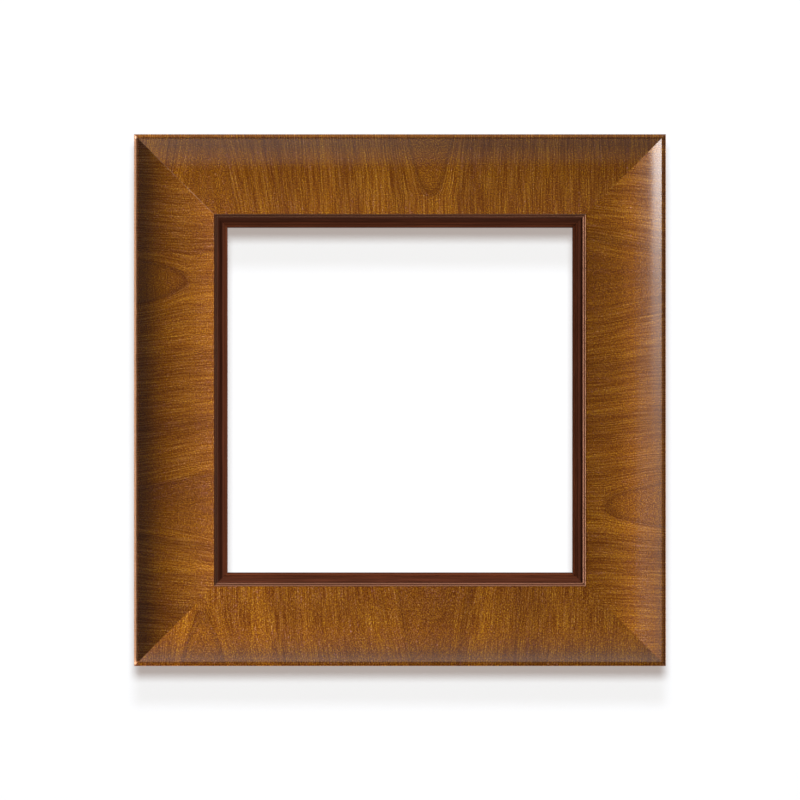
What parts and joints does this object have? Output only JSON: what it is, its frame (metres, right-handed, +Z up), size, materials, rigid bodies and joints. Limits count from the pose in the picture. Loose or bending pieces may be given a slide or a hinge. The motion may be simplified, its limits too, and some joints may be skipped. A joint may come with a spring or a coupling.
{
  "type": "picture frame",
  "caption": "Square wooden picture frame: mitred cushion moulding in cross-banded veneer, dark reeded slip, open rebate, with turn buttons and a ring hanger on the back.",
  "frame": {"origin": "bottom centre of the bounding box, on the frame's flat bottom edge", "axes": "+X to the right seen from the front, +Y backwards to the wall, +Z up; the front faces -Y"},
  "size_m": [0.2946, 0.0324, 0.2947],
  "materials": {
    "veneer_wood": "golden brown veneer with the grain across each rail, satin lacquer",
    "slip_wood": "dark red-brown stained wood, satin lacquer",
    "core_wood": "bare planed softwood",
    "zinc_steel": "zinc-plated pressed steel and wire"
  },
  "bodies": {
    "frame": {"core_bottom": "core_wood", "core_left": "core_wood", "core_top": "core_wood", "core_right": "core_wood", "veneer_bottom": "veneer_wood", "veneer_left": "veneer_wood", "veneer_top": "veneer_wood", "veneer_right": "veneer_wood", "slip_bottom": "slip_wood", "slip_left": "slip_wood", "slip_top": "slip_wood", "slip_right": "slip_wood", "v_nail_bottom_right_outer": "zinc_steel", "v_nail_bottom_right_inner": "zinc_steel", "v_nail_bottom_left_outer": "zinc_steel", "v_nail_bottom_left_inner": "zinc_steel", "v_nail_top_left_outer": "zinc_steel", "v_nail_top_left_inner": "zinc_steel", "v_nail_top_right_outer": "zinc_steel", "v_nail_top_right_inner": "zinc_steel", "button_screw_left_lower": "zinc_steel", "button_screw_left_upper": "zinc_steel", "button_screw_right_lower": "zinc_steel", "button_screw_right_upper": "zinc_steel", "hanger_strap": "zinc_steel", "hanger_screw": "zinc_steel"},
    "button_left_lower": {"turn_button_left_lower": "zinc_steel"},
    "button_left_upper": {"turn_button_left_upper": "zinc_steel"},
    "button_right_lower": {"turn_button_right_lower": "zinc_steel"},
    "button_right_upper": {"turn_button_right_upper": "zinc_steel"},
    "ring": {"hanger_ring": "zinc_steel"}
  },
  "joints": [
    {"name": "turn_left_lower", "type": "hinge", "parent": "frame", "child": "button_left_lower", "pos_m": [-0.11835, 0.01255, 0.08735], "axis": [0, 1, 0], "continuous": true},
    {"name": "turn_left_upper", "type": "hinge", "parent": "frame", "child": "button_left_upper", "pos_m": [-0.11835, 0.01255, 0.20735], "axis": [0, 1, 0], "continuous": true},
    {"name": "turn_right_lower", "type": "hinge", "parent": "frame", "child": "button_right_lower", "pos_m": [0.11835, 0.01255, 0.08735], "axis": [0, 1, 0], "continuous": true},
    {"name": "turn_right_upper", "type": "hinge", "parent": "frame", "child": "button_right_upper", "pos_m": [0.11835, 0.01255, 0.20735], "axis": [0, 1, 0], "continuous": true},
    {"name": "ring_swing", "type": "hinge", "parent": "frame", "child": "ring", "pos_m": [0, 0.01415, 0.2732], "axis": [1, 0, 0], "range_deg": [0, 180]}
  ]
}
